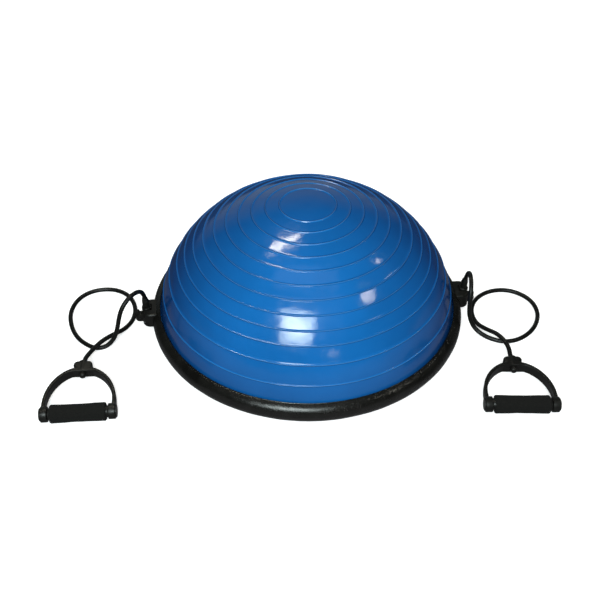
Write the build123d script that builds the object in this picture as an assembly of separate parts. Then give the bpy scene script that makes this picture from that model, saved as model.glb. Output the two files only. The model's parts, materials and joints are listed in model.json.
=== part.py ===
from build123d import *
import os
from math import acos, cos, hypot, pi, radians, sin, tan

# Balance dome trainer: an inflated half-ball clamped to a rigid round platform by a rolled rim, with
# an elastic tube and a D-handle on each side. Millimetres, +Z up. The origin is on the floor under
# the middle of the dome. The two lugs that hold the tubes lie on the X axis.

# Driving dimensions ------------------------------------------------------------------------------
BASE_D = 580.0            # across the rolled rim
RIM_ROLL_R = 20.0         # radius of the rolled rim's section
RIM_Z = 24.0              # height of the rim's widest level
RIM_WALL = 3.5
DOME_R = 274.0            # the dome's outer half width and half height, as an ellipse
DOME_H = 242.5
DOME_Z = 13.0             # height of that ellipse's centre
DOME_WALL = 3.0
RIB_PITCH = 25.0          # along the dome's surface, from the top
RIB_R = 1.6
LOW_RIBS = (307.0, 344.0)  # the two lowest ribs lie farther apart than the pitch
FOOT_H = 5.5
FOOT_R = 12.0
BOARD_BOTTOM = 4.0
BOARD_PLATE = 4.0
SHELF_Z = 24.0            # underside of the shelf that the dome's edge stands on
SHELF_T = 4.0
SCREW_RING_R = 281.0
SCREW_COUNT = 8
FOOT_COUNT = 6
VALVE_Y = 90.0
LUG_HALF = 24.0           # half width of a lug along the rim
LUG_REACH = 308.0
LUG_LOW, LUG_HIGH = 12.0, 40.0
BARREL_X = 300.0          # axis of the clip's barrel, which the tube leaves upwards
BARREL_R = 8.5
BARREL_LOW, BARREL_HIGH = 11.0, 43.0
SOCKET_Z = 29.0
PIVOT_Z = 19.0
GATE_X = 314.0
GATE_R = 8.0
TUBE_D = 8.2
TUBE_BORE = 4.0
GRIP_Z = 15.7             # height of the grip's axis above the floor
FOAM_D, FOAM_L = 31.0, 94.0
CORE_D = 20.0
AXLE_D = 10.0
EYE_D = 27.0
EYE_IN, EYE_OUT = 50.7, 62.7
BOW_HALF = 59.0           # middle of the bow's strap
BOW_STRAIGHT = 18.0
BOW_REACH = 93.0
BOW_T = 6.6
WEB_Y = 86.0              # straight inner edge of the web that stiffens the bow under the hub
WEB_HALF = 20.5
HUB_END = 111.0
TUBE_STOP = 97.0          # the tube's end inside the hub
RUNNING = 0.05            # radial clearance of what turns or slides
SLIP = 0.15               # radial clearance around a tube where it enters a socket

RIM_R = BASE_D / 2 - RIM_ROLL_R
SHELF_TOP = SHELF_Z + SHELF_T
ON_FLOOR = TUBE_D / 2 + 0.1

# Where each handle lies: the middle of its grip, its turn about Z, and the angle its hub is raised by
HANDLES = {"left": (-410, -232.4, -1.3, 4.3), "right": (338.8, -283.7, -5.6, 0)}

# The tubes' routes, from the clip's socket to the last point before the handle's hub
ROUTES = {
    "left": [
        (-300, 0, SOCKET_Z), (-300, 0, 45), (-300.2, -1, 60), (-301.5, -4.5, 76), (-306, -14, 91.5),
        (-317, -30, 99), (-330, -44, 94), (-340, -52, 80), (-345.5, -55, 63), (-349.5, -56.5, 46),
        (-354, -58, 31), (-361, -60, 17.5), (-374, -64.5, 7), (-391, -65.5, ON_FLOOR),
        (-407, -57, ON_FLOOR), (-428, -36, ON_FLOOR), (-443, -3, ON_FLOOR), (-449.5, 39, ON_FLOOR),
        (-438, 78, ON_FLOOR), (-411, 101, ON_FLOOR), (-371, 103, ON_FLOOR), (-340, 82, ON_FLOOR),
        (-325, 46, ON_FLOOR), (-327, 9, ON_FLOOR), (-343, -19, 5.5), (-362, -40, 13.5),
        (-380, -60, 18.4), (-394, -80, 18.6), (-402.5, -98, 21),
    ],
    "right": [
        (300, 0, SOCKET_Z), (300, 0, 45), (300.4, -1.5, 59), (300.8, -5.5, 73), (300.6, -14, 89),
        (299.4, -29, 98.5), (297, -47, 98.5), (294.5, -62, 88.5), (293, -70, 74), (292.5, -73, 58),
        (293.5, -75, 42), (297, -77.5, 27), (304, -83, 13.5), (314.5, -92, 6), (329, -106, ON_FLOOR),
        (354, -118.5, ON_FLOOR), (387, -113, ON_FLOOR), (420, -87, ON_FLOOR), (440, -47, ON_FLOOR),
        (437, -5, ON_FLOOR), (407, 26, ON_FLOOR), (367, 30, ON_FLOOR), (331, 10, ON_FLOOR),
        (312, -25, ON_FLOOR), (313, -62, 4.6), (326, -86, 10), (341, -107, 16.6), (350, -127, 16.8),
        (353, -146, 16),
    ],
}


# Helpers -----------------------------------------------------------------------------------------
def section(sketch):
    """Stand a sketch of (radius, height) up in the plane that a revolve turns."""
    return Plane.XZ * sketch


def block(x0, x1, y0, y1, z0, z1):
    return Pos((x0 + x1) / 2, (y0 + y1) / 2, (z0 + z1) / 2) * Box(x1 - x0, y1 - y0, z1 - z0)


def patch(x0, x1, y0, y1):
    return Pos((x0 + x1) / 2, (y0 + y1) / 2) * Rectangle(x1 - x0, y1 - y0)


def post(x, y, radius, z0, z1):
    return Pos(x, y, (z0 + z1) / 2) * Cylinder(radius, z1 - z0)


def rod_x(x0, x1, y, z, radius):
    return Pos((x0 + x1) / 2, y, z) * Rot(0, 90, 0) * Cylinder(radius, x1 - x0)


def rod_y(y0, y1, x, z, radius):
    return Pos(x, (y0 + y1) / 2, z) * Rot(90, 0, 0) * Cylinder(radius, y1 - y0)


def on_circle(radius, count, start=0.0):
    for k in range(count):
        angle = radians(start + 360.0 * k / count)
        yield radius * cos(angle), radius * sin(angle)


# Platform, rim and dome --------------------------------------------------------------------------
def base_board():
    """Moulded platform: plate, wall, shelf for the dome's edge, and twelve stiffening ribs."""
    profile = patch(0, 268, BOARD_BOTTOM, BOARD_BOTTOM + BOARD_PLATE)
    profile += patch(262, 266, BOARD_BOTTOM, SHELF_Z + 1)
    profile += patch(250, 284.5, SHELF_Z, SHELF_TOP)
    board = revolve(section(profile), Axis.Z)
    for k in range(12):
        board += Rot(0, 0, 15 + 30 * k) * block(20, 264, -1.5, 1.5, BOARD_BOTTOM + 1, SHELF_TOP)
    board += post(0, 0, 26, BOARD_BOTTOM, SHELF_TOP)
    board += post(0, VALVE_Y, 23, BOARD_BOTTOM, SHELF_TOP)
    board -= post(0, VALVE_Y, 20, 0, SHELF_TOP + 1)
    for x, y in foot_places():
        board -= post(x, y, FOOT_R, 0, FOOT_H)
    for x, y in on_circle(SCREW_RING_R, SCREW_COUNT, 22.5):
        board -= post(x, y, 1.8, SHELF_Z - 1, SHELF_TOP + 1)
    return board


def foot_places():
    return [(0.0, 0.0)] + list(on_circle(225, FOOT_COUNT, 0))


def rim_bumper():
    """Rolled rim, hollow, open inwards, with a lip that holds the dome's bead down."""
    roll = Pos(RIM_R, RIM_Z) * Circle(RIM_ROLL_R)
    skin = roll - Pos(RIM_R, RIM_Z) * Circle(RIM_ROLL_R - RIM_WALL)
    skin -= patch(240, 274, RIM_Z, 60)
    skin -= patch(240, 271, 0, RIM_Z)
    lip = patch(274, 277, SHELF_TOP + 4, 60) & roll
    rim = revolve(section(skin + lip), Axis.Z)
    for x, y in on_circle(SCREW_RING_R, SCREW_COUNT, 22.5):
        rim += post(x, y, 3.5, SHELF_TOP, 38.5)
        rim -= post(x, y, 1.6, SHELF_TOP - 1, 37)
        rim -= post(x, y, 4.5, 0, 14)
    for side in (-1, 1):
        for y in (-17, 17):
            rim += rod_x(*sorted((side * 275, side * 285)), y, 18, 4.5)
            rim -= rod_x(*sorted((side * 270, side * 295)), y, 18, 2.0)
    return rim


def dome_angle(length):
    """The ellipse's angle at a length along the dome's outer surface from the top."""
    angle, step, travelled = 0.0, 0.0005, 0.0
    while travelled < length:
        travelled += step * hypot(DOME_R * cos(angle), DOME_H * sin(angle))
        angle += step
    return angle


def dome_point(angle, inset=0.0):
    return (DOME_R - inset) * sin(angle), DOME_Z + (DOME_H - inset) * cos(angle)


def dome_curve(start, end, inset=0.0):
    """The stretch of the ellipse between two angles, true in direction at both ends."""
    count = 6 if inset == 0 else 14
    points = [dome_point(start + (end - start) * k / count, inset) for k in range(count + 1)]
    slopes = [((DOME_R - inset) * cos(a), (inset - DOME_H) * sin(a)) for a in (start, end)]
    return Spline(*points, tangents=slopes)


def rib_arc(angle):
    """One rounded rib across the outline, and the angles where it starts and ends."""
    spread = RIB_R / hypot(DOME_R * cos(angle), DOME_H * sin(angle))
    out = Vector(sin(angle) / DOME_R, cos(angle) / DOME_H).normalized() * RIB_R
    crest = Vector(*dome_point(angle)) + out
    arc = ThreePointArc(dome_point(angle - spread), crest, dome_point(angle + spread))
    return arc, angle - spread, angle + spread


def dome_bladder():
    """Inflated shell with round ribs, and the bead that the rim's lip holds."""
    end = acos((SHELF_TOP - DOME_Z) / DOME_H)
    end_inside = acos((SHELF_TOP - DOME_Z) / (DOME_H - DOME_WALL))
    outline, reached = [], 0.0
    for length in [RIB_PITCH * k for k in range(2, 12)] + list(LOW_RIBS):
        arc, start, finish = rib_arc(dome_angle(length))
        outline += [dome_curve(reached, start), arc]
        reached = finish
    outline.append(dome_curve(reached, end))
    outline.append(Line(dome_point(end), dome_point(end_inside, DOME_WALL)))
    outline.append(dome_curve(0, end_inside, DOME_WALL))
    outline.append(Line(dome_point(0, DOME_WALL), dome_point(0)))
    shell = revolve(section(make_face(outline)), Axis.Z)
    return shell + post(0, 0, 277, SHELF_TOP, SHELF_TOP + 4) - post(0, 0, 270, SHELF_TOP - 1, SHELF_TOP + 5)


def bladder_floor():
    """Flat membrane welded across the shell, lying on the platform's shelf and ribs."""
    membrane = post(0, 0, 270, SHELF_TOP, SHELF_TOP + 2)
    return membrane - post(0, VALVE_Y, 7, SHELF_TOP - 1, SHELF_TOP + 3)


def valve_seat():
    seat = post(0, VALVE_Y, 17, SHELF_TOP - 2.5, SHELF_TOP)
    seat += post(0, VALVE_Y, 7, 16, 33)
    return seat - post(0, VALVE_Y, 3.5 + RUNNING, 15, 34)


def valve_plug():
    plug = post(0, VALVE_Y, 3.5, 15, 30) + post(0, VALVE_Y, 8, 12.8, 15.8)
    return fillet(plug.edges().group_by(Axis.Z)[0], 1)


def foot(x, y):
    pad = post(x, y, FOOT_R, 0, FOOT_H)
    return chamfer(pad.edges().group_by(Axis.Z)[0], 0.8)


def base_screw(x, y):
    return post(x, y, 1.6, SHELF_Z - 1, 37) + post(x, y, 3.1, SHELF_Z - 2.5, SHELF_Z)


# Lug and clip, drawn for the +X side and mirrored to the other -----------------------------------
def lug():
    """Round-cornered ear on the rim, forked around the clip's barrel."""
    ear = block(272, LUG_REACH, -LUG_HALF, LUG_HALF, LUG_LOW, LUG_HIGH)
    ear = fillet(ear.edges().filter_by(Axis.Z).group_by(Axis.X)[-1], 15)
    ear = fillet(ear.faces().sort_by(Axis.Z)[-1].edges().filter_by(lambda e: e.center().X > 273), 4)
    ear -= Pos(0, 0, RIM_Z) * Torus(RIM_R, RIM_ROLL_R)
    ear -= post(0, 0, 279, 0, 60)
    ear -= block(290.5, 320, -9.2, 9.2, 0, 60)
    ear -= rod_y(-30, 30, BARREL_X, PIVOT_Z, 2.5)
    for y in (-17, 17):
        ear -= rod_x(270, 320, y, 18, 2.0)
        ear -= rod_x(291, 320, y, 18, 3.6)
    return ear


def lug_screw(y):
    return rod_x(276, 293, y, 18, 2.0) + rod_x(291, 293.5, y, 18, 3.4)


def clip_pin():
    return rod_y(-22, 22, BARREL_X, PIVOT_Z, 2.5)


def clip_body():
    """Barrel with the tube's socket above, and two cheeks that carry the thumb gate."""
    barrel = post(BARREL_X, 0, BARREL_R, BARREL_LOW, BARREL_HIGH)
    barrel = fillet(barrel.edges().filter_by(GeomType.CIRCLE), 1.5)
    body = barrel + rod_y(-7.1, 7.1, GATE_X, PIVOT_Z, 7)
    body += block(302, GATE_X, -7.1, 7.1, 12, 26)
    body -= rod_y(-4.2, 4.2, GATE_X, PIVOT_Z, GATE_R + 0.6)
    body -= block(GATE_X - GATE_R - 0.6, 330, -4.2, 4.2, PIVOT_Z, 28)
    body -= rod_y(-20, 20, GATE_X, PIVOT_Z, 1.5)
    body -= rod_y(-20, 20, BARREL_X, PIVOT_Z, 2.5)
    body -= post(BARREL_X, 0, TUBE_D / 2 + SLIP, SOCKET_Z, 60)
    return body - post(BARREL_X, 0, TUBE_BORE / 2, 24, SOCKET_Z + 1)


def gate_pin():
    return rod_y(-7.1, 7.1, GATE_X, PIVOT_Z, 1.5)


def clip_gate():
    """Round thumb gate with a short tab; it swings outwards on its pin."""
    gate = rod_y(-4, 4, GATE_X, PIVOT_Z, GATE_R) + block(GATE_X, GATE_X + 7, -4, 4, PIVOT_Z, 33)
    gate = fillet(gate.edges().group_by(Axis.Z)[-1].filter_by(Axis.Y), 3)
    return gate - rod_y(-5, 5, GATE_X, PIVOT_Z, 1.5 + RUNNING)


def tube_plug():
    return post(BARREL_X, 0, TUBE_BORE / 2, 24, SOCKET_Z + 8)


# Handle, drawn about the middle of its grip: X along the grip, +Y towards the hub -----------------
def handle_yoke():
    """Strap bow standing on edge, its web, two eyes for the axle, and the hub with its two bumps."""
    rise = BOW_REACH - BOW_STRAIGHT
    half = BOW_T / 2
    strap = Ellipse(BOW_HALF + half, rise + half) - Ellipse(BOW_HALF - half, rise - half)
    strap = Pos(0, BOW_STRAIGHT) * (strap & patch(-80, 80, 0, 120))
    for side in (-1, 1):
        strap += Pos(side * BOW_HALF, BOW_STRAIGHT / 2) * Rectangle(BOW_T, BOW_STRAIGHT)
    bow = extrude(strap, 9.2, both=True)
    side_view = Polyline((-5, -8.6), (25, -8.6), (80, -9.2), (115, -9.2), (115, 9.2), (80, 9.2), (25, 8.6),
                         (-5, 8.6), close=True)
    bow &= extrude(Plane.YZ * make_face(side_view), 90, both=True)
    web = Pos(0, BOW_STRAIGHT) * Ellipse(BOW_HALF, rise) & patch(-WEB_HALF, WEB_HALF, WEB_Y, BOW_REACH)
    yoke = bow + extrude(web, 9.0, both=True) + rod_y(BOW_REACH - 2, HUB_END, 0, 0, 10)
    for side in (-1, 1):
        bump = post(side * 8.5, 101, 8, -9.5, 9.5)
        yoke += fillet(bump.edges().filter_by(GeomType.CIRCLE), 3)
        yoke += rod_x(*sorted((side * EYE_IN, side * EYE_OUT)), 0, 0, EYE_D / 2)
    yoke -= rod_x(-70, 70, 0, 0, AXLE_D / 2)
    yoke -= rod_y(80, TUBE_STOP, 0, 0, 6.4)
    return yoke - rod_y(TUBE_STOP - 1, HUB_END + 1, 0, 0, 6)


def hub_bush():
    bush = rod_y(TUBE_STOP, HUB_END, 0, 0, 6) + rod_y(HUB_END, HUB_END + 1.5, 0, 0, 7)
    return bush - rod_y(TUBE_STOP - 1, HUB_END + 3, 0, 0, TUBE_D / 2 + SLIP)


def stopper_plug():
    head = rod_y(78, TUBE_STOP, 0, 0, 6.2)
    head = fillet(head.edges().group_by(Axis.Y)[0], 3.5)
    return head + rod_y(TUBE_STOP, TUBE_STOP + 12, 0, 0, TUBE_BORE / 2)


def grip_axle():
    return rod_x(-EYE_OUT, EYE_OUT, 0, 0, AXLE_D / 2)


def grip_core():
    core = rod_x(-50.2, 50.2, 0, 0, CORE_D / 2)
    return core - rod_x(-60, 60, 0, 0, AXLE_D / 2 + RUNNING)


def foam_sleeve():
    foam = rod_x(-FOAM_L / 2, FOAM_L / 2, 0, 0, FOAM_D / 2)
    foam = fillet(foam.edges().filter_by(GeomType.CIRCLE), 2.5)
    return foam - rod_x(-60, 60, 0, 0, CORE_D / 2)


def end_cap(side):
    cap = rod_x(*sorted((side * EYE_OUT, side * (EYE_OUT + 2))), 0, 0, 11)
    outer = cap.edges().filter_by(GeomType.CIRCLE).sort_by(lambda e: side * e.center().X)[-1]
    return fillet(outer, 1)


# Tubes -------------------------------------------------------------------------------------------
def in_handle(name, x, y, z=0.0):
    """A point of a handle's own frame, in the frame of the whole object."""
    cx, cy, turn, rise = HANDLES[name]
    cr, sr = cos(radians(rise)), sin(radians(rise))
    y, z = y * cr - z * sr, y * sr + z * cr
    c, s = cos(radians(turn)), sin(radians(turn))
    return (cx + x * c - y * s, cy + x * s + y * c, GRIP_Z + z)


def route(name):
    return ROUTES[name] + [in_handle(name, 0, 119), in_handle(name, 0, TUBE_STOP)]


def corner_radii(points):
    """Each corner's arc takes 0.45 of the shorter run beside it."""
    radii = []
    for before, here, after in zip(points, points[1:], points[2:]):
        run_in = Vector(*here) - Vector(*before)
        run_out = Vector(*after) - Vector(*here)
        half_turn = radians(run_in.get_angle(run_out)) / 2
        radii.append(0.45 * min(run_in.length, run_out.length) / tan(half_turn))
    return radii


def elastic_tube(name):
    points = route(name)
    radii = corner_radii(points)
    path = FilletPolyline(*points, radius=radii)
    ring = Circle(TUBE_D / 2) - Circle(TUBE_BORE / 2)
    tube = sweep(Plane(origin=path @ 0, z_dir=path % 0) * ring, path)
    expected = pi * (TUBE_D ** 2 - TUBE_BORE ** 2) / 4 * path.length
    print(f"tube_{name}: length {path.length:.1f} mm, volume over section x length "
          f"{tube.volume / expected:.4f}, smallest radius {min(radii):.1f} mm")
    print("   radii", [round(r) for r in radii])
    return tube


# All pieces --------------------------------------------------------------------------------------
def platform_nodes():
    nodes = {
        "base_board": base_board(),
        "rim_bumper": rim_bumper(),
        "dome_bladder": dome_bladder(),
        "bladder_floor": bladder_floor(),
        "valve_seat": valve_seat(),
        "valve_plug": valve_plug(),
    }
    for k, (x, y) in enumerate(foot_places()):
        nodes[f"foot_{k}"] = foot(x, y)
    for k, (x, y) in enumerate(on_circle(SCREW_RING_R, SCREW_COUNT, 22.5)):
        nodes[f"base_screw_{k + 1}"] = base_screw(x, y)
    return nodes


def clip_nodes(name):
    pieces = {
        "lug": lug(),
        "lug_screw_front": lug_screw(-17),
        "lug_screw_back": lug_screw(17),
        "clip_pin": clip_pin(),
        "clip_body": clip_body(),
        "gate_pin": gate_pin(),
        "clip_gate": clip_gate(),
        "tube_plug": tube_plug(),
    }
    if name == "left":
        pieces = {key: mirror(piece, Plane.YZ) for key, piece in pieces.items()}
    return {f"{key}_{name}": piece for key, piece in pieces.items()}


def handle_nodes(name):
    cx, cy, turn, rise = HANDLES[name]
    place = Pos(cx, cy, GRIP_Z) * Rot(0, 0, turn) * Rot(rise, 0, 0)
    pieces = {
        "handle_yoke": handle_yoke(),
        "hub_bush": hub_bush(),
        "stopper_plug": stopper_plug(),
        "grip_axle": grip_axle(),
        "grip_core": grip_core(),
        "foam_sleeve": foam_sleeve(),
        "end_cap_a": end_cap(-1),
        "end_cap_b": end_cap(1),
    }
    return {f"{key}_{name}": place * piece for key, piece in pieces.items()}


def main():
    os.makedirs("parts", exist_ok=True)
    nodes = platform_nodes()
    for name in ("left", "right"):
        nodes.update(clip_nodes(name))
        nodes.update(handle_nodes(name))
        nodes[f"tube_{name}"] = elastic_tube(name)
    for node, piece in nodes.items():
        export_step(piece, f"parts/{node}.step")
    print(len(nodes), "nodes")


main()
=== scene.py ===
import json
from math import acos, cos, hypot, pi, radians, sin

import bmesh
import bpy
from mathutils import Matrix, Vector, noise


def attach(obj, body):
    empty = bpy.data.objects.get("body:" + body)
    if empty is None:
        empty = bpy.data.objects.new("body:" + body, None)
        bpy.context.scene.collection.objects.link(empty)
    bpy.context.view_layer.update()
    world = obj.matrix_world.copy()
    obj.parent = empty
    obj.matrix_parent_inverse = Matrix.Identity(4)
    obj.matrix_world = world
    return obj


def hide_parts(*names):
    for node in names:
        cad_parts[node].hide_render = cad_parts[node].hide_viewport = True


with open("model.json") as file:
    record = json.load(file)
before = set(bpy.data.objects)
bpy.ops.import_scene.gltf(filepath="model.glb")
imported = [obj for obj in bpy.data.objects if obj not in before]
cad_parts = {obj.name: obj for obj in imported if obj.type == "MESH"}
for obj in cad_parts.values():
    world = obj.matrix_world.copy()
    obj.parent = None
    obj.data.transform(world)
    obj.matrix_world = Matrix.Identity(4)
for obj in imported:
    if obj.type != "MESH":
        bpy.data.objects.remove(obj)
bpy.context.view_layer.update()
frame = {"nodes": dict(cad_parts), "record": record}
NODES = frame["nodes"]
SLOT_OF = {part["node"]: part["material_slot"] for part in frame["record"]["subparts"]}
SIDES = ("left", "right")
MM = 0.001

# Dimensions, in millimetres and degrees, as the CAD nodes have them -------------------------------
DOME_R, DOME_H, DOME_Z, DOME_WALL = 274.0, 242.5, 13.0, 3.0
RIB_LENGTHS = [25.0 * k for k in range(2, 12)] + [307.0, 344.0]
RIB_HEIGHT, RIB_HALF = 1.5, 1.9
RIB_STEP, PLAIN_STEP = 0.38, 4.5
ANGLE_STEP = 0.0004
SHELF_TOP = 28.0
BEAD_R, BEAD_INNER_R, BEAD_HEIGHT = 277.0, 270.0, 4
DOME_STEPS, DOME_INNER_RINGS = 288, 40
DOME_DRIFT = ((90, 1.1), (32, 0.22))
DRIFT_FROM_Z, DRIFT_FADE = 48, 60

RIM_R, RIM_Z, ROLL_R, RIM_WALL = 270.0, 24.0, 20.0, 3.5
ROLL_FROM, ROLL_TO = 75.5, -86
ROLL_INSIDE_FROM, ROLL_INSIDE_TO = -85.5, 65
LIP_INNER_R, LIP_LOW, LIP_TOP = 274.0, 33.0, 42.8
LIP_EDGE, LIP_EDGE_R, LIP_EDGE_Z = 0.9, 274.9, 42.85
LIP_SEAT = [(277.0, 33.0), (276.3, 32.0), (274.7, 32.0)]
RIM_STEPS = 320
RIM_DRIFT = ((70, 0.55), (16, 0.22))
RIM_SINK = 0.1

# The handle is drawn about the middle of its grip: X runs along the grip, +Y towards the hub
GRIP_Z = 15.7
HANDLES = {  # x and y of the grip's middle, turn about Z, rise about X
    "left": (-410, -232.4, -1.3, 4.3),
    "right": (338.8, -283.7, -5.6, 0),
}
BOW_HALF, BOW_STRAIGHT, BOW_RISE = 59.0, 18.0, 75.0
LEG_POINTS_Y = (-1.0, 5.0, 10.0)
STRAP_HALF_THICK, STRAP_EDGE = 3.3, 1.7
LEG_HALF_WIDE, HUB_EXTRA_WIDE = 8.6, 0.6
WIDER_FROM_Y, WIDER_OVER = 25, 55
WEB_HALF, WEB_Y, WEB_HALF_WIDE = 20.5, 86.0, 9.0
HUB_R, HUB_LOW, HUB_HIGH, HUB_EDGE = 10.0, 88.0, 111.0, 1.6
BUMP_R, BUMP_HALF, BUMP_EDGE, BUMP_X, BUMP_Y = 8.0, 9.5, 3.0, 8.5, 101
BORE_LOW, BORE_STEP, BORE_HIGH = 60.0, 97.0, 125.0
BORE_WIDE_R, BORE_R = 6.4, 6.05
VOXEL, SOFTEN_FACTOR, SOFTEN_ROUNDS = 0.75, 0.5, 5
EYE_R, EYE_BORE, EYE_EDGE = 13.5, 5.0, 1.4
EYE_INSIDE, EYE_OUTSIDE = 50.7, 62.7

FOAM_HALF, FOAM_R, FOAM_BORE_R = 47.0, 15.5, 10.0
FOAM_EDGE, FOAM_EDGE_R, FOAM_DISH = 2.9, 12.7, 1.5
FOAM_INSET, FOAM_SPAN, FOAM_RINGS = 5, 84, 56
FOAM_DRIFT = ((14, 0.28), (3.2, 0.14))
FOAM_SAG, FOAM_SINK = 0.35, 0.1

STOP_LOW, STOP_BALL_Y, STOP_BALL_R, STOP_BALL_OFFSET = 77.8, 82.3, 4.5, 1.6
STOP_SHANK = [(6.1, 84.0), (6.2, 96.6), (0.0, 97.0)]
STOP_STEM_R, STOP_STEM_LOW, STOP_STEM_HIGH = 2.0, 96.5, 109.0

TUBE_R = 4.1
ON_FLOOR = 4.2
SOCKET_Z = 29.0
BARREL_TOP = 43.0
TUBE_IN_HUB = (119, 97)  # Y of the tube's last two points, in the handle's own frame
SLEEVE_GAP, SLEEVE_RISE, SLEEVE_BORE_R = 0.2, 22.0, 4.2
SLEEVE_R, SLEEVE_FOOT_R, SLEEVE_FOOT = 6.5, 6.1, 0.5
SLEEVE_PITCH, SLEEVE_STRAIGHTS = 2.7, 5
SLEEVE_NECK = [(6.2, 14.8), (5.6, 15.4), (5.5, 18.5)]  # radius, and height above the sleeve's foot
SLEEVE_MOUTH = [(5.3, 1.0), (4.9, 0.3)]  # radius, and depth below the sleeve's top
SLEEVE_LEAN = {"left": (-0.0013, -0.0046), "right": (0.0008, -0.0056)}  # X, Y per height squared

FLOOR_HALF = 9.0  # metres
FLOOR_DROP = 0.0002  # metres

# Each tube's way from its clip's socket to the hub of its handle
ROUTES = {
    "left": [
        (-300, 0, SOCKET_Z), (-300, 0, 45), (-300.2, -1, 60), (-301.5, -4.5, 76),
        (-306, -14, 91.5), (-317, -30, 99), (-330, -44, 94), (-340, -52, 80),
        (-345.5, -55, 63), (-349.5, -56.5, 46), (-354, -58, 31), (-361, -60, 17.5),
        (-374, -64.5, 7), (-391, -65.5, ON_FLOOR), (-407, -57, ON_FLOOR),
        (-428, -36, ON_FLOOR), (-443, -3, ON_FLOOR), (-449.5, 39, ON_FLOOR),
        (-438, 78, ON_FLOOR), (-411, 101, ON_FLOOR), (-371, 103, ON_FLOOR),
        (-340, 82, ON_FLOOR), (-325, 46, ON_FLOOR), (-327, 9, ON_FLOOR), (-343, -19, 5.5),
        (-362, -40, 13.5), (-380, -60, 18.4), (-394, -80, 18.6), (-402.5, -98, 21),
    ],
    "right": [
        (300, 0, SOCKET_Z), (300, 0, 45), (300.4, -1.5, 59), (300.8, -5.5, 73),
        (300.6, -14, 89), (299.4, -29, 98.5), (297, -47, 98.5), (294.5, -62, 88.5),
        (293, -70, 74), (292.5, -73, 58), (293.5, -75, 42), (297, -77.5, 27),
        (304, -83, 13.5), (314.5, -92, 6), (329, -106, ON_FLOOR), (354, -118.5, ON_FLOOR),
        (387, -113, ON_FLOOR), (420, -87, ON_FLOOR), (440, -47, ON_FLOOR),
        (437, -5, ON_FLOOR), (407, 26, ON_FLOOR), (367, 30, ON_FLOOR), (331, 10, ON_FLOOR),
        (312, -25, ON_FLOOR), (313, -62, 4.6), (326, -86, 10), (341, -107, 16.6),
        (350, -127, 16.8), (353, -146, 16),
    ],
}


# Camera and light ---------------------------------------------------------------------------------
LENS, SENSOR_WIDTH = 56.03, 36.0
CAMERA_BEARING, CAMERA_REACH, CAMERA_HEIGHT = -6.2, 1.3365, 1.1842
LOOK_BEARING, LOOK_DOWN, CAMERA_ROLL = -5.645, 40.73, -0.19
LIGHTS_AIM = Vector((0, 0, 0.12))
WHITE = (1, 1, 1)
LAMPS = (  # name, bearing, elevation, distance, width, height, watts, colour, roll
    ("key_softbox", -15.0, 36.5, 2.4, 0.88, 0.94, 37, (0.86, 1.0, 0.99), 0),
    ("key_core", -17.5, 38.0, 2.35, 0.60, 0.42, 7, (0.95, 1.0, 1.0), 0),
    ("ceiling", -5, 76, 2.6, 1.9, 0.9, 2.6, WHITE, 0),
    ("back_window", -148, 69, 2.6, 0.88, 0.15, 15, (1.0, 0.93, 0.78), 0),
    ("right_window", 61, 42, 2.6, 0.34, 0.08, 3.4, (1.0, 0.96, 0.85), 35),
    ("right_lamp", 100, 43, 2.6, 0.12, 0.06, 1.0, (1.0, 0.97, 0.9), 0),
    ("low_strip", 12, 15, 2.6, 0.45, 0.04, 1.0, WHITE, 0),
)
FILL_STRENGTH, FILL_ANGLE, FILL_FROM = 1.85, 40, (3, 50)
ROOM_COLOUR = (0.80, 0.95, 1.0, 1)
BACKDROP_COLOUR = (0.97, 0.97, 0.97, 1)


def bearing(degrees, elevation):
    """Unit vector. A bearing of 0 points along -Y, out of the front, and 90 along +X."""
    a, e = radians(degrees), radians(elevation)
    return Vector((sin(a) * cos(e), -cos(a) * cos(e), sin(e)))


def add_object(name, data):
    item = bpy.data.objects.new(name, data)
    bpy.context.scene.collection.objects.link(item)
    return item


def make_camera():
    data = bpy.data.cameras.new("Camera")
    camera = add_object("Camera", data)
    data.sensor_width = SENSOR_WIDTH
    data.lens = LENS
    data.clip_start, data.clip_end = 0.05, 50.0
    out = bearing(CAMERA_BEARING, 0) * CAMERA_REACH
    camera.location = (out.x, out.y, CAMERA_HEIGHT)
    look = -bearing(LOOK_BEARING, LOOK_DOWN)
    turn = look.to_track_quat("-Z", "Y")
    roll = Matrix.Rotation(radians(CAMERA_ROLL), 4, look).to_quaternion()
    camera.rotation_mode = "QUATERNION"
    camera.rotation_quaternion = roll @ turn
    bpy.context.scene.camera = camera


def area_light(name, degrees, elevation, distance, width, height, watts, colour, roll):
    """A rectangular lamp around the object, facing it, turned about its own axis by roll."""
    data = bpy.data.lights.new(name, "AREA")
    data.shape = "RECTANGLE"
    data.size, data.size_y = width, height
    data.energy = watts
    data.color = colour
    lamp = add_object(name, data)
    lamp.location = LIGHTS_AIM + bearing(degrees, elevation) * distance
    lamp.rotation_mode = "QUATERNION"
    turn = Matrix.Rotation(radians(roll), 4, "Z").to_quaternion()
    lamp.rotation_quaternion = (LIGHTS_AIM - lamp.location).to_track_quat("-Z", "Y") @ turn


def make_lights():
    """A softbox beside the camera, small windows around, and a broad even light that fills.

    The fill is left out of reflections.
    """
    for lamp in LAMPS:
        area_light(*lamp)
    data = bpy.data.lights.new("even_fill", "SUN")
    data.energy = FILL_STRENGTH
    data.angle = radians(FILL_ANGLE)
    fill = add_object("even_fill", data)
    fill.rotation_mode = "QUATERNION"
    fill.rotation_quaternion = (-bearing(*FILL_FROM)).to_track_quat("-Z", "Y")
    fill.visible_glossy = False


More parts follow.
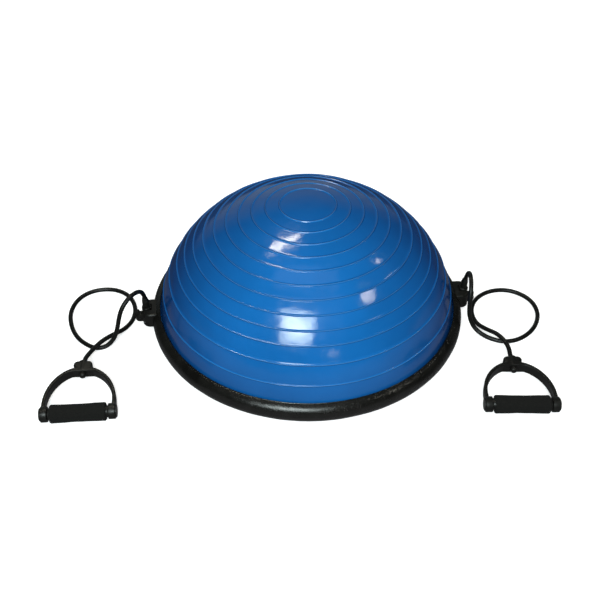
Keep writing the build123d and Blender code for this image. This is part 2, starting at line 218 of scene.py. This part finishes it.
def make_world():
    """A dim room, brighter towards the back, behind a backdrop that only the camera sees."""
    world = bpy.data.worlds.new("studio")
    world.use_nodes = True
    tree = world.node_tree
    room = tree.nodes["Background"]
    room.inputs["Color"].default_value = ROOM_COLOUR
    split = tree.nodes.new("ShaderNodeSeparateXYZ")
    tree.links.new(tree.nodes.new("ShaderNodeTexCoord").outputs["Generated"], split.inputs[0])
    wall = tree.nodes.new("ShaderNodeMapRange")
    set_range(wall, 0.72, 1.0, 0.03, 0.46)
    tree.links.new(split.outputs["Y"], wall.inputs["Value"])
    tree.links.new(wall.outputs["Result"], room.inputs["Strength"])
    backdrop = tree.nodes.new("ShaderNodeBackground")
    backdrop.inputs["Color"].default_value = BACKDROP_COLOUR
    camera_sees(tree, backdrop.outputs[0], room.outputs[0],
                tree.nodes["World Output"].inputs["Surface"])
    bpy.context.scene.world = world
    bpy.context.scene.view_settings.view_transform = "Standard"


# Shader nodes -------------------------------------------------------------------------------------
def set_range(node, low, high, to_low, to_high):
    keys = ("From Min", "From Max", "To Min", "To Max")
    for key, value in zip(keys, (low, high, to_low, to_high)):
        node.inputs[key].default_value = value


def camera_sees(tree, seen, otherwise, target):
    """Give the camera one shader and every other ray, such as a reflection, another."""
    choose = tree.nodes.new("ShaderNodeMixShader")
    rays = tree.nodes.new("ShaderNodeLightPath")
    tree.links.new(rays.outputs["Is Camera Ray"], choose.inputs[0])
    tree.links.new(otherwise, choose.inputs[1])
    tree.links.new(seen, choose.inputs[2])
    tree.links.new(choose.outputs[0], target)


class Nodes:
    """A material's node tree, with short calls for the nodes used here."""

    def __init__(self, name):
        self.material = bpy.data.materials.new(name)
        self.material.use_nodes = True
        self.tree = self.material.node_tree
        self.shader = self.tree.nodes["Principled BSDF"]
        self.place = self.tree.nodes.new("ShaderNodeTexCoord").outputs["Object"]

    def link(self, source, target):
        self.tree.links.new(source, target)

    def noise(self, scale, detail=2.0, rough=0.5, warp=0.0):
        node = self.tree.nodes.new("ShaderNodeTexNoise")
        node.inputs["Scale"].default_value = scale
        node.inputs["Detail"].default_value = detail
        node.inputs["Roughness"].default_value = rough
        node.inputs["Distortion"].default_value = warp
        self.link(self.place, node.inputs["Vector"])
        return node.outputs["Fac"]

    def cells(self, scale, feature="F1"):
        node = self.tree.nodes.new("ShaderNodeTexVoronoi")
        node.feature = feature
        node.inputs["Scale"].default_value = scale
        self.link(self.place, node.inputs["Vector"])
        return node.outputs["Distance"]

    def spread(self, source, low, high, to_low=0.0, to_high=1.0):
        """Stretch the range low to high of a value over another range."""
        node = self.tree.nodes.new("ShaderNodeMapRange")
        set_range(node, low, high, to_low, to_high)
        self.link(source, node.inputs["Value"])
        return node.outputs["Result"]

    def blend(self, share, first, second):
        """Mix two colours, each a tuple or a socket, by a share that is a socket."""
        node = self.tree.nodes.new("ShaderNodeMix")
        node.data_type = "RGBA"
        self.link(share, node.inputs[0])
        for value, socket in ((first, node.inputs[6]), (second, node.inputs[7])):
            if isinstance(value, tuple):
                socket.default_value = (*value, 1.0)
            else:
                self.link(value, socket)
        return node.outputs[2]

    def bump(self, height, depth, strength=1.0, over=None):
        """Bump of a given depth in metres, laid over an earlier one."""
        node = self.tree.nodes.new("ShaderNodeBump")
        node.inputs["Strength"].default_value = strength
        node.inputs["Distance"].default_value = depth
        self.link(height, node.inputs["Height"])
        if over is not None:
            self.link(over, node.inputs["Normal"])
        return node.outputs["Normal"]

    def set(self, **values):
        for key, value in values.items():
            socket = self.shader.inputs[key.replace("_", " ")]
            if hasattr(value, "is_linked"):
                self.link(value, socket)
            elif isinstance(value, tuple):
                socket.default_value = (*value, 1.0)
            else:
                socket.default_value = value
        return self.material


# Materials ----------------------------------------------------------------------------------------
DOME_BLUES = (0.0045, 0.096, 0.312), (0.0060, 0.112, 0.360)
DUST_BLUE = (0.035, 0.13, 0.33)
# Painted highlight: the paler blue laid along the ribs' crests
CREST_HIGHLIGHT_BLUE = (0.035, 0.20, 0.47)
# Painted shade: the dome's blue darkens towards this where its skin is seen at a slant
PAINTED_SHADE_BLUE = (0.0028, 0.043, 0.178)
RIM_BLACKS = (0.0030, 0.0029, 0.0024), (0.0062, 0.0060, 0.0052)
FOAM_BLACKS = (0.0016, 0.0016, 0.0014), (0.0062, 0.0062, 0.0056)
STEEL_GREYS = (0.045, 0.045, 0.047), (0.085, 0.085, 0.088)
FLOOR_WHITES = (0.86, 0.865, 0.87), (0.88, 0.88, 0.88)
FLOOR_GLOW = 0.46
FLOOR_IN_REFLECTIONS = (0.95, 0.97, 1.0, 1.0)
BLACK = (0.0036, 0.0035, 0.0029)
SOOT = (0.0070, 0.0068, 0.0060)
CLIP_SOOT = (0.0080, 0.0078, 0.0070)
PLATFORM_BLACKS = (0.012, 0.012, 0.012), (0.020, 0.020, 0.020)
TUBE_BLACKS = (0.0028, 0.0028, 0.0024), (0.0050, 0.0050, 0.0045)


def dome_material():
    """Glossy vinyl. Painted shade: the colour darkens where the skin is seen at a slant.

    Crests of the ribs are duller, with a paler painted highlight. The mesh holds how near a crest
    each point is.
    """
    n = Nodes("dome_blue_vinyl")
    cloudy = n.spread(n.noise(9, 3), 0.35, 0.65)
    blue = n.blend(cloudy, *DOME_BLUES)
    dust = n.spread(n.noise(42, 5, 0.65), 0.55, 0.85, 0.0, 0.10)
    blue = n.blend(dust, blue, DUST_BLUE)
    crest = n.tree.nodes.new("ShaderNodeAttribute")
    crest.attribute_name = "crest"
    crest = crest.outputs["Fac"]
    # Painted highlight: the ribs' crests are painted paler
    blue = n.blend(n.spread(crest, 0.25, 1.0, 0.0, 0.45), blue, CREST_HIGHLIGHT_BLUE)
    # Painted shade: darker where the skin is seen at a slant, towards the dome's outline
    slant = n.tree.nodes.new("ShaderNodeLayerWeight").outputs["Facing"]
    blue = n.blend(n.spread(slant, 0.08, 0.66), blue, PAINTED_SHADE_BLUE)
    gloss = n.spread(n.noise(60, 4, 0.6), 0.3, 0.7, 0.10, 0.18)
    worn = n.tree.nodes.new("ShaderNodeMath")
    worn.operation = "MAXIMUM"
    n.link(gloss, worn.inputs[0])
    n.link(n.spread(crest, 0.3, 1.0, 0.10, 0.36), worn.inputs[1])
    relief = n.bump(n.noise(26, 2), 0.0012)
    relief = n.bump(n.noise(700, 3), 0.00006, over=relief)
    return n.set(Base_Color=blue, Roughness=worn.outputs[0], Normal=relief, IOR=1.48,
                 Coat_Weight=0.12, Coat_Roughness=0.10)


def rim_material():
    """Black skin with a fine grain, slightly wavy."""
    n = Nodes("rim_black_grained")
    tone = n.blend(n.spread(n.noise(35, 4), 0.35, 0.65), *RIM_BLACKS)
    grain = n.spread(n.cells(900, "SMOOTH_F1"), 0.0, 0.7)
    relief = n.bump(grain, 0.00016, 0.7)
    relief = n.bump(n.noise(1500, 3), 0.00006, over=relief)
    relief = n.bump(n.noise(40, 2), 0.0005, over=relief)
    gloss = n.spread(n.noise(90, 4), 0.3, 0.7, 0.20, 0.31)
    return n.set(Base_Color=tone, Roughness=gloss, Normal=relief)


def moulded_material(name, dark, light, rough, grain=900, depth=0.00006):
    """Moulded plastic or rubber: faint mottling, a satin skin with a fine texture, scuffs."""
    n = Nodes(name)
    tone = n.blend(n.spread(n.noise(55, 4), 0.35, 0.7), dark, light)
    scuffs = n.spread(n.noise(240, 5, 0.7, 0.6), 0.62, 0.72)
    pale = tuple(min(1.0, 3 * c) for c in light)
    tone = n.blend(n.spread(scuffs, 0, 1, 0, 0.25), tone, pale)
    gloss = n.spread(n.noise(130, 4), 0.3, 0.7, rough - 0.06, rough + 0.08)
    relief = n.bump(n.noise(grain, 3), depth)
    relief = n.bump(n.noise(90, 2), 0.0003, over=relief)
    return n.set(Base_Color=tone, Roughness=gloss, Normal=relief, Specular_IOR_Level=0.32)


def foam_material():
    """Closed-cell foam: dull, with open pores."""
    n = Nodes("foam_black_cells")
    pores = n.spread(n.cells(900), 0.05, 0.65)
    tone = n.blend(pores, *FOAM_BLACKS)
    relief = n.bump(pores, 0.0004, 0.9)
    relief = n.bump(n.noise(260, 4, 0.65), 0.0006, over=relief)
    return n.set(Base_Color=tone, Roughness=0.93, Normal=relief, Specular_IOR_Level=0.25,
                 Sheen_Weight=0.01, Sheen_Roughness=0.6)


def steel_material():
    """Dark plated steel with a slightly uneven shine."""
    n = Nodes("steel_zinc")
    tone = n.blend(n.spread(n.noise(300, 4), 0.3, 0.7), *STEEL_GREYS)
    relief = n.bump(n.noise(1600, 2), 0.00003)
    gloss = n.spread(n.noise(400, 3), 0.3, 0.7, 0.24, 0.42)
    return n.set(Base_Color=tone, Metallic=1.0, Roughness=gloss, Normal=relief)


def floor_material():
    """White sweep: lit, with some light of its own, to the camera, and dull in reflections."""
    n = Nodes("studio_floor")
    tone = n.blend(n.spread(n.noise(1.2, 3), 0.35, 0.65), *FLOOR_WHITES)
    n.set(Base_Color=tone, Roughness=0.75, Normal=n.bump(n.noise(350, 3), 0.00012),
          Specular_IOR_Level=0.2, Emission_Color=(1.0, 1.0, 1.0), Emission_Strength=FLOOR_GLOW)
    dull = n.tree.nodes.new("ShaderNodeEmission")
    dull.inputs["Color"].default_value = FLOOR_IN_REFLECTIONS
    behind = n.tree.nodes.new("ShaderNodeSeparateXYZ")
    n.link(n.place, behind.inputs[0])
    n.link(n.spread(behind.outputs["Y"], -0.35, 0.25, 0.26, 0.035), dull.inputs["Strength"])
    camera_sees(n.tree, n.shader.outputs[0], dull.outputs[0],
                n.tree.nodes["Material Output"].inputs["Surface"])
    return n.material


MATERIALS = {
    "dome": dome_material(),
    "rim": rim_material(),
    "platform": moulded_material("platform_plastic", *PLATFORM_BLACKS, 0.50),
    "soft": moulded_material("strap_satin_black", BLACK, SOOT, 0.40),
    "hard": moulded_material("clip_plastic_black", BLACK, CLIP_SOOT, 0.36, 700, 0.0001),
    "tube": moulded_material("tube_latex_black", *TUBE_BLACKS, 0.38, 1300),
    "foam": foam_material(),
    "steel": steel_material(),
}


# Mesh helpers -------------------------------------------------------------------------------------
def to_mesh(mesh, name):
    """Turn a bmesh into a mesh of its own, with its faces turned outwards."""
    bmesh.ops.recalc_face_normals(mesh, faces=mesh.faces)
    data = bpy.data.meshes.new(name)
    mesh.to_mesh(data)
    mesh.free()
    return data


def to_object(mesh, name, slot, body="root", stands_for=()):
    """Turn a bmesh in millimetres into a piece on a body, with its material."""
    bmesh.ops.scale(mesh, vec=(MM, MM, MM), verts=mesh.verts)
    data = to_mesh(mesh, name)
    data.materials.append(MATERIALS[slot])
    piece = add_object(name, data)
    data.shade_smooth()
    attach(piece, body)
    if stands_for:
        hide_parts(*stands_for)
    return piece


def join_rings(mesh, lower, upper, steps):
    """Faces between two rings. A ring of one vertex is a pole."""
    for k in range(steps):
        j = (k + 1) % steps
        corners = [lower[k % len(lower)], lower[j % len(lower)],
                   upper[j % len(upper)], upper[k % len(upper)]]
        face = list(dict.fromkeys(corners))
        if len(face) > 2:
            mesh.faces.new(face)


def lathe(mesh, profile, place, steps=48, closed=True):
    """Turn a profile of (radius, height) points about the local Z axis. Radius 0 makes a pole."""
    rings = []
    for radius, height in profile:
        if radius < 1e-6:
            rings.append([mesh.verts.new(place @ Vector((0, 0, height)))])
            continue
        angles = [2 * pi * k / steps for k in range(steps)]
        points = [Vector((radius * cos(a), radius * sin(a), height)) for a in angles]
        rings.append([mesh.verts.new(place @ point) for point in points])
    pairs = list(zip(rings, rings[1:]))
    if closed and len(rings[0]) > 1 and len(rings[-1]) > 1:
        pairs.append((rings[-1], rings[0]))
    for lower, upper in pairs:
        join_rings(mesh, lower, upper, steps)
    return rings


def arc(cx, cy, radius, start, finish, count):
    """Points (radius, height) on an arc, from one angle to another, in degrees."""
    angles = [radians(start + (finish - start) * k / count) for k in range(count + 1)]
    return [(cx + radius * cos(a), cy + radius * sin(a)) for a in angles]


def uneven(point, layers):
    """Slow, smooth unevenness in millimetres: layers of noise, each of a size and a depth."""
    return sum(depth * noise.noise(Vector(point) / size) for size, depth in layers)


def ramp(value, low, over):
    """Rise from 0 to 1 as the value goes from low to low + over."""
    return min(1.0, max(0.0, (value - low) / over))


# Dome ---------------------------------------------------------------------------------------------
def dome_point(angle, out=0.0):
    """A point of the dome's outline, moved along the outward direction."""
    normal = Vector((sin(angle) / DOME_R, cos(angle) / DOME_H)).normalized()
    return (DOME_R * sin(angle) + out * normal.x,
            DOME_Z + DOME_H * cos(angle) + out * normal.y)


def dome_stations():
    """Angles down the dome with the height of the rib there, closer together across each rib."""
    end = acos((SHELF_TOP - DOME_Z) / DOME_H)
    stations, angle, length, due = [], 0.0, 0.0, 0.0
    while angle < end:
        near = min(abs(length - rib) for rib in RIB_LENGTHS)
        if length >= due:
            share = max(0.0, 1 - near / RIB_HALF)
            stations.append((angle, 0.5 - 0.5 * cos(pi * share)))
            on_rib = near < RIB_HALF + 0.5
            due = length + (RIB_STEP if on_rib else min(PLAIN_STEP, max(RIB_STEP, near - RIB_HALF)))
        length += ANGLE_STEP * hypot(DOME_R * cos(angle), DOME_H * sin(angle))
        angle += ANGLE_STEP
    return stations + [(end, 0.0)]


def make_dome():
    """The blown shell with its ribs, and the bead at its edge that the rim's lip holds."""
    mesh = bmesh.new()
    crest = mesh.verts.layers.float.new("crest")
    stations = dome_stations()
    bead_top = SHELF_TOP + BEAD_HEIGHT
    outer = [dome_point(angle, RIB_HEIGHT * rib) for angle, rib in stations]
    outer[0] = (0.0, outer[0][1])
    outer[-1] = dome_point(acos((bead_top - DOME_Z) / DOME_H))
    bead = [(BEAD_R, bead_top), (BEAD_R, SHELF_TOP), (BEAD_INNER_R, SHELF_TOP)]
    end = stations[-1][0]
    inner = [dome_point(end * k / DOME_INNER_RINGS, -DOME_WALL)
             for k in range(DOME_INNER_RINGS - 1, 0, -1)]
    inner.append((0.0, DOME_Z + DOME_H - DOME_WALL))
    rings = lathe(mesh, outer + bead + inner, Matrix.Identity(4), DOME_STEPS, closed=False)
    for ring, (angle, rib) in zip(rings, stations):
        for vertex in ring:
            vertex[crest] = rib
    for ring in rings[:len(outer)]:
        for vertex in ring:
            drift = uneven(vertex.co, DOME_DRIFT)
            fade = ramp(vertex.co.z, DRIFT_FROM_Z, DRIFT_FADE)
            vertex.co += vertex.co.normalized() * drift * fade
    to_object(mesh, "dome_skin", "dome", stands_for=["dome_bladder"])


# Rim ----------------------------------------------------------------------------------------------
def make_rim():
    """The hollow roll and its lip, in one closed profile."""
    mesh = bmesh.new()
    profile = [(LIP_INNER_R, LIP_LOW), (LIP_INNER_R, LIP_TOP)]
    profile += arc(LIP_EDGE_R, LIP_EDGE_Z, LIP_EDGE, 180, 80, 3)
    first = len(profile) - 1
    profile += arc(RIM_R, RIM_Z, ROLL_R, ROLL_FROM, ROLL_TO, 44)
    last = len(profile) - 1
    profile += arc(RIM_R, RIM_Z, ROLL_R - RIM_WALL, ROLL_INSIDE_FROM, ROLL_INSIDE_TO, 22)
    profile += LIP_SEAT
    rings = lathe(mesh, profile, Matrix.Identity(4), RIM_STEPS)
    for ring in rings[first:last]:
        for vertex in ring:
            out = Vector((vertex.co.x, vertex.co.y, 0)).normalized()
            middle = Vector((0, 0, RIM_Z)) + out * RIM_R
            away = (vertex.co - middle).normalized()
            vertex.co += away * (uneven(vertex.co, RIM_DRIFT) - RIM_SINK)
    to_object(mesh, "rim_roll", "rim", stands_for=["rim_bumper"])


# Handles ------------------------------------------------------------------------------------------
ALONG_X = Matrix.Rotation(pi / 2, 4, "Y")
ALONG_Y = Matrix.Rotation(-pi / 2, 4, "X")


def in_handle(side):
    """Where a handle lies: the matrix from its own frame to the object's."""
    x, y, turn, rise = HANDLES[side]
    turned = Matrix.Rotation(radians(turn), 4, "Z") @ Matrix.Rotation(radians(rise), 4, "X")
    return Matrix.Translation((x, y, GRIP_Z)) @ turned


def rounded_rod(radius, low, high, edge, bore=None):
    """Outline of a rod with rounded ends, for the lathe. With a bore it is a closed ring."""
    outline = arc(radius - edge, low + edge, edge, -90, 0, 5)
    outline += arc(radius - edge, high - edge, edge, 0, 90, 5)
    if bore is None:
        return [(0.0, low)] + outline + [(0.0, high)]
    lead = min(0.6, edge)
    return [(bore, low + lead), (bore + lead, low)] + outline + [(bore + lead, high),
                                                                 (bore, high - lead)]


def strap_section(half_thick, half_wide):
    """A rectangle with rounded corners."""
    corners = []
    for sx, sz, start in ((1, 1, 0), (-1, 1, 90), (-1, -1, 180), (1, -1, 270)):
        corners += arc(sx * (half_thick - STRAP_EDGE), sz * (half_wide - STRAP_EDGE),
                       STRAP_EDGE, start, start + 90, 4)
    return corners


def add_bow(mesh):
    """The D-shaped band, from one eye round the hub to the other."""
    path = [(-BOW_HALF, y) for y in LEG_POINTS_Y]
    path += [(-BOW_HALF * cos(radians(a)), BOW_STRAIGHT + BOW_RISE * sin(radians(a)))
             for a in range(0, 181, 3)]
    path += [(BOW_HALF, y) for y in reversed(LEG_POINTS_Y)]
    rings = []
    for k, (x, y) in enumerate(path):
        x0, y0 = path[max(0, k - 1)]
        x1, y1 = path[min(len(path) - 1, k + 1)]
        run = Vector((x1 - x0, y1 - y0, 0)).normalized()
        side = Vector((run.y, -run.x, 0))
        half_wide = LEG_HALF_WIDE + HUB_EXTRA_WIDE * ramp(y, WIDER_FROM_Y, WIDER_OVER)
        rings.append([mesh.verts.new(Vector((x, y, 0)) + side * u + Vector((0, 0, w)))
                      for u, w in strap_section(STRAP_HALF_THICK, half_wide)])
    for lower, upper in zip(rings, rings[1:]):
        join_rings(mesh, lower, upper, len(lower))
    mesh.faces.new(rings[0])
    mesh.faces.new(rings[-1][::-1])


def add_web(mesh):
    """The flat piece that fills the top of the bow under the hub."""
    outline = [(WEB_HALF, WEB_Y)]
    outline += [(x, BOW_STRAIGHT + BOW_RISE * (1 - (x / BOW_HALF) ** 2) ** 0.5)
                for x in range(20, -21, -4)]
    outline.append((-WEB_HALF, WEB_Y))
    lower, upper = ([mesh.verts.new((x, y, z)) for x, y in outline]
                    for z in (-WEB_HALF_WIDE, WEB_HALF_WIDE))
    mesh.faces.new(lower)
    mesh.faces.new(upper[::-1])
    join_rings(mesh, lower, upper, len(outline))


def make_strap_mesh():
    """The bow, its web, the hub with two bumps and the wall of its bore, fused and softened."""
    mesh = bmesh.new()
    add_bow(mesh)
    add_web(mesh)
    lathe(mesh, rounded_rod(HUB_R, HUB_LOW, HUB_HIGH, HUB_EDGE), ALONG_Y, 48)
    for side in (-1, 1):
        lathe(mesh, rounded_rod(BUMP_R, -BUMP_HALF, BUMP_HALF, BUMP_EDGE),
              Matrix.Translation((side * BUMP_X, BUMP_Y, 0)), 40)
    body = add_object("strap_parts", to_mesh(mesh, "strap_parts"))
    tool = bmesh.new()
    lathe(tool, [(0.0, BORE_LOW), (BORE_WIDE_R, BORE_LOW), (BORE_WIDE_R, BORE_STEP),
                 (BORE_R, BORE_STEP), (BORE_R, BORE_HIGH), (0.0, BORE_HIGH)], ALONG_Y, 48)
    cutter = add_object("bore", to_mesh(tool, "bore"))
    fuse = body.modifiers.new("fuse", "REMESH")
    fuse.mode, fuse.voxel_size, fuse.adaptivity = "VOXEL", VOXEL, 0.0
    soften = body.modifiers.new("soften", "SMOOTH")
    soften.factor, soften.iterations = SOFTEN_FACTOR, SOFTEN_ROUNDS
    cut = body.modifiers.new("cut", "BOOLEAN")
    cut.operation, cut.object, cut.solver = "DIFFERENCE", cutter, "EXACT"
    bpy.context.view_layer.update()
    evaluated = body.evaluated_get(bpy.context.evaluated_depsgraph_get())
    made = bpy.data.meshes.new_from_object(evaluated)
    bpy.data.objects.remove(body)
    bpy.data.objects.remove(cutter)
    return made


def make_handles():
    strap = make_strap_mesh()
    for side in SIDES:
        place = in_handle(side)
        mesh = bmesh.new()
        mesh.from_mesh(strap)
        for end in (-1, 1):
            low, high = sorted((end * EYE_INSIDE, end * EYE_OUTSIDE))
            lathe(mesh, rounded_rod(EYE_R, low, high, EYE_EDGE, bore=EYE_BORE), ALONG_X, 64)
        bmesh.ops.transform(mesh, matrix=place, verts=mesh.verts)
        to_object(mesh, f"strap_{side}", "soft", stands_for=[f"handle_yoke_{side}"])
        make_foam(side, place)
        make_stopper(side, place)


def make_foam(side, place):
    """Foam sleeve: a soft tube with rounded, slightly dished ends and a lightly uneven skin."""
    mesh = bmesh.new()
    dish, edge = FOAM_HALF - FOAM_DISH, FOAM_HALF - FOAM_EDGE
    profile = [(FOAM_BORE_R, -dish)] + arc(FOAM_EDGE_R, -edge, FOAM_EDGE, -110, 0, 7)
    profile += [(FOAM_R, -FOAM_HALF + FOAM_INSET + FOAM_SPAN * k / FOAM_RINGS)
                for k in range(FOAM_RINGS + 1)]
    profile += arc(FOAM_EDGE_R, edge, FOAM_EDGE, 0, 110, 7) + [(FOAM_BORE_R, dish)]
    rings = lathe(mesh, profile, ALONG_X, 96)
    for ring in rings[2:-2]:
        for vertex in ring:
            away = Vector((0, vertex.co.y, vertex.co.z)).normalized()
            sag = -FOAM_SAG * cos(pi * vertex.co.x / FOAM_HALF) - FOAM_SINK
            vertex.co += away * (sag + uneven(vertex.co, FOAM_DRIFT))
    bmesh.ops.transform(mesh, matrix=place, verts=mesh.verts)
    foam = to_object(mesh, f"foam_grip_{side}", "foam", f"grip_{side}", [f"foam_sleeve_{side}"])


def make_stopper(side, place):
    """The ball-ended stopper that keeps the tube from slipping out of the hub."""
    mesh = bmesh.new()
    profile = [(0.0, STOP_LOW)]
    profile += arc(STOP_BALL_OFFSET, STOP_BALL_Y, STOP_BALL_R, -84, 0, 9) + STOP_SHANK
    lathe(mesh, profile, ALONG_Y, 40)
    lathe(mesh, [(0.0, STOP_STEM_LOW), (STOP_STEM_R, STOP_STEM_LOW),
                 (STOP_STEM_R, STOP_STEM_HIGH), (0.0, STOP_STEM_HIGH)], ALONG_Y, 24)
    bmesh.ops.transform(mesh, matrix=place, verts=mesh.verts)
    node = f"stopper_plug_{side}"
    to_object(mesh, f"stopper_{side}", SLOT_OF[node], stands_for=[node])


# Elastic tubes ------------------------------------------------------------------------------------
def make_tube(side):
    """A smooth round curve along the tube's route, whose end sits inside the hub."""
    place = in_handle(side)
    points = [Vector(p) for p in ROUTES[side]] + [place @ Vector((0, y, 0)) for y in TUBE_IN_HUB]
    data = bpy.data.curves.new(f"elastic_{side}", "CURVE")
    data.dimensions = "3D"
    data.bevel_depth = TUBE_R * MM
    data.bevel_resolution = 6
    data.resolution_u = 12
    data.use_fill_caps = True
    spline = data.splines.new("NURBS")
    spline.points.add(len(points) - 1)
    for target, point in zip(spline.points, points):
        target.co = (*(point * MM), 1.0)
    spline.order_u = 3
    spline.use_endpoint_u = True
    data.materials.append(MATERIALS["tube"])
    tube = add_object(f"elastic_{side}", data)
    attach(tube, "root")
    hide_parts(f"tube_{side}")


def make_sleeve(side):
    """Moulded sleeve that stiffens the tube where it rises out of the clip's barrel."""
    mesh = bmesh.new()
    low, high = BARREL_TOP + SLEEVE_GAP, BARREL_TOP + SLEEVE_RISE
    straight = low + SLEEVE_FOOT
    profile = [(SLEEVE_BORE_R, low), (SLEEVE_FOOT_R, low), (SLEEVE_R, straight)]
    profile += [(SLEEVE_R, straight + SLEEVE_PITCH * k) for k in range(1, SLEEVE_STRAIGHTS + 1)]
    profile += [(radius, low + up) for radius, up in SLEEVE_NECK]
    profile += [(radius, high - down) for radius, down in SLEEVE_MOUTH]
    profile.append((SLEEVE_BORE_R, high))
    x, y, _ = ROUTES[side][0]
    lathe(mesh, profile, Matrix.Translation((x, y, 0)), 40)
    lean_x, lean_y = SLEEVE_LEAN[side]
    for vertex in mesh.verts:
        rise = (vertex.co.z - BARREL_TOP) ** 2
        vertex.co.x += lean_x * rise
        vertex.co.y += lean_y * rise
    to_object(mesh, f"tube_sleeve_{side}", "soft")


# CAD nodes that stay ------------------------------------------------------------------------------
ROUNDING = {"lug": 1.0, "clip_body": 0.8, "clip_gate": 0.7, "base_board": 0.6, "foot": 0.8}
PLAIN_ROUNDING = 0.35
WELD_DISTANCE = 0.00002  # metres
SHARP_EDGE = 38  # degrees


def finish_cad_nodes():
    """Every node that still shows gets its slot's material and softly broken edges."""
    for name, node in NODES.items():
        if node.hide_render:
            continue
        node.data.materials.clear()
        node.data.materials.append(MATERIALS[SLOT_OF[name]])
        kind = next((k for k in ROUNDING if name.startswith(k)), None)
        weld = node.modifiers.new("weld", "WELD")
        weld.merge_threshold = WELD_DISTANCE
        edge = node.modifiers.new("edge", "BEVEL")
        edge.width = ROUNDING.get(kind, PLAIN_ROUNDING) * MM
        edge.segments = 3
        edge.limit_method = "ANGLE"
        edge.angle_limit = radians(SHARP_EDGE)
        edge.harden_normals = True


def make_floor():
    mesh = bmesh.new()
    bmesh.ops.create_grid(mesh, x_segments=8, y_segments=8, size=FLOOR_HALF)
    data = bpy.data.meshes.new("studio_floor")
    mesh.to_mesh(data)
    mesh.free()
    data.materials.append(floor_material())
    floor = add_object("studio_floor", data)
    floor.location.z = -FLOOR_DROP


make_camera()
make_lights()
make_world()
for side in SIDES:
    make_tube(side)
    make_sleeve(side)
make_dome()
make_rim()
make_handles()
finish_cad_nodes()
make_floor()
